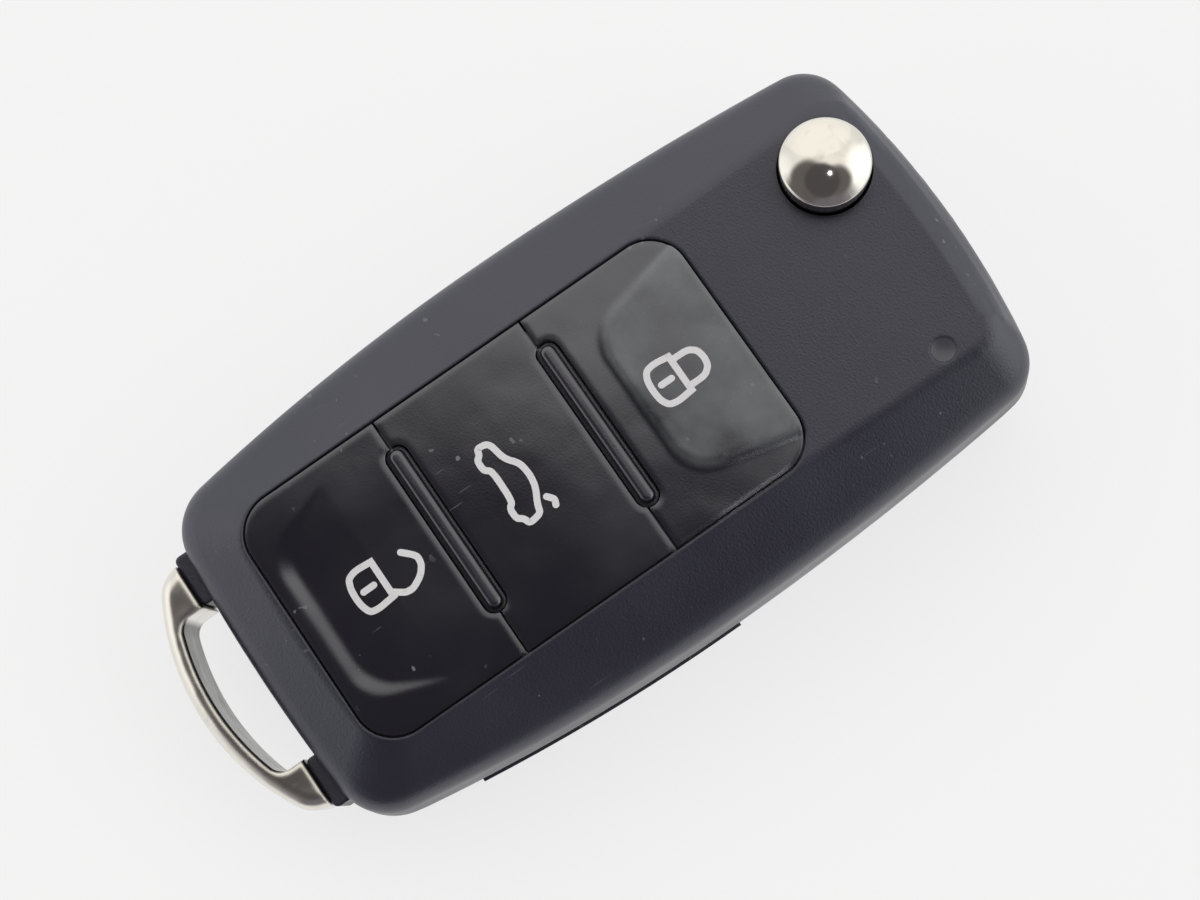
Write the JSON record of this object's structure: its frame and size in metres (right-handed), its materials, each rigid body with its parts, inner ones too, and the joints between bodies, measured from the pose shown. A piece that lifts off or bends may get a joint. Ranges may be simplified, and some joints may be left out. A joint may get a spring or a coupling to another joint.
{
  "type": "car key fob",
  "caption": "Folding remote car key: rounded black case with lock, boot and unlock keys, a flip-out blade on a sprung hub, a domed release button and a fixed key ring loop.",
  "frame": {"origin": "middle of the overall length and width, on the flat rear face; the blade is folded in", "axes": "+Z out of the keypad, +Y toward the release button end, +X to the right seen from the front"},
  "size_m": [0.0371, 0.075, 0.0182],
  "materials": {
    "shell_plastic": "fine grained black plastic",
    "cover_plastic": "fine grained black plastic",
    "key_rubber": "smooth semi-gloss black",
    "mat_rubber": "satin black silicone",
    "board_laminate": "green solder mask",
    "switch_body": "black moulded",
    "plunger_plastic": "ivory moulded",
    "chip_plastic": "moulded package",
    "component_metal": "tinned",
    "coil_winding": "enamelled copper wire",
    "led_body": "clear",
    "guide_plastic": "smoked translucent",
    "cell_steel": "satin nickel plate",
    "contact_metal": "spring bronze",
    "blade_steel": "nickel plated, milled",
    "pin_steel": "bright",
    "hub_metal": "die-cast zinc",
    "chrome": "bright nickel chrome",
    "spring_steel": "music wire",
    "screw_steel": "black zinc"
  },
  "bodies": {
    "case": {"front_shell": "shell_plastic", "rear_shell": "shell_plastic", "battery_cover": "cover_plastic", "keypad_mat": "mat_rubber", "circuit_board": "board_laminate", "tact_switches": "switch_body", "controller_chip": "chip_plastic", "board_components": "component_metal", "transponder_coil": "coil_winding", "indicator_led": "led_body", "led_light_guide": "guide_plastic", "battery_cell": "cell_steel", "battery_contact_positive": "contact_metal", "battery_contact_negative": "contact_metal", "key_ring_loop": "chrome", "case_screws": "screw_steel"},
    "blade": {"blade_hub": "hub_metal", "key_blade": "blade_steel", "blade_pin": "pin_steel", "flip_spring": "spring_steel"},
    "release": {"release_button": "chrome", "release_plunger": "hub_metal"},
    "lock_key": {"lock_button": "key_rubber", "lock_switch_plunger": "plunger_plastic"},
    "boot_key": {"boot_button": "key_rubber", "boot_switch_plunger": "plunger_plastic"},
    "unlock_key": {"unlock_button": "key_rubber", "unlock_switch_plunger": "plunger_plastic"}
  },
  "joints": [
    {"name": "blade_flip", "type": "hinge", "parent": "case", "child": "blade", "pos_m": [-0.00736, 0.0305, 0.0067], "axis": [0, 0, -1], "range_deg": [0, 180]},
    {"name": "release_press", "type": "slide", "parent": "blade", "child": "release", "axis": [0, 0, -1], "range_m": [0, 0.0016], "stiffness_N_per_m": 2500, "springref_m": -0.0008, "deforming": ["flip_spring"]},
    {"name": "lock_press", "type": "slide", "parent": "case", "child": "lock_key", "axis": [0, 0, -1], "range_m": [0, 0.0004], "stiffness_N_per_m": 4000, "springref_m": -0.0001},
    {"name": "boot_press", "type": "slide", "parent": "case", "child": "boot_key", "axis": [0, 0, -1], "range_m": [0, 0.0004], "stiffness_N_per_m": 4000, "springref_m": -0.0001},
    {"name": "unlock_press", "type": "slide", "parent": "case", "child": "unlock_key", "axis": [0, 0, -1], "range_m": [0, 0.0004], "stiffness_N_per_m": 4000, "springref_m": -0.0001}
  ]
}
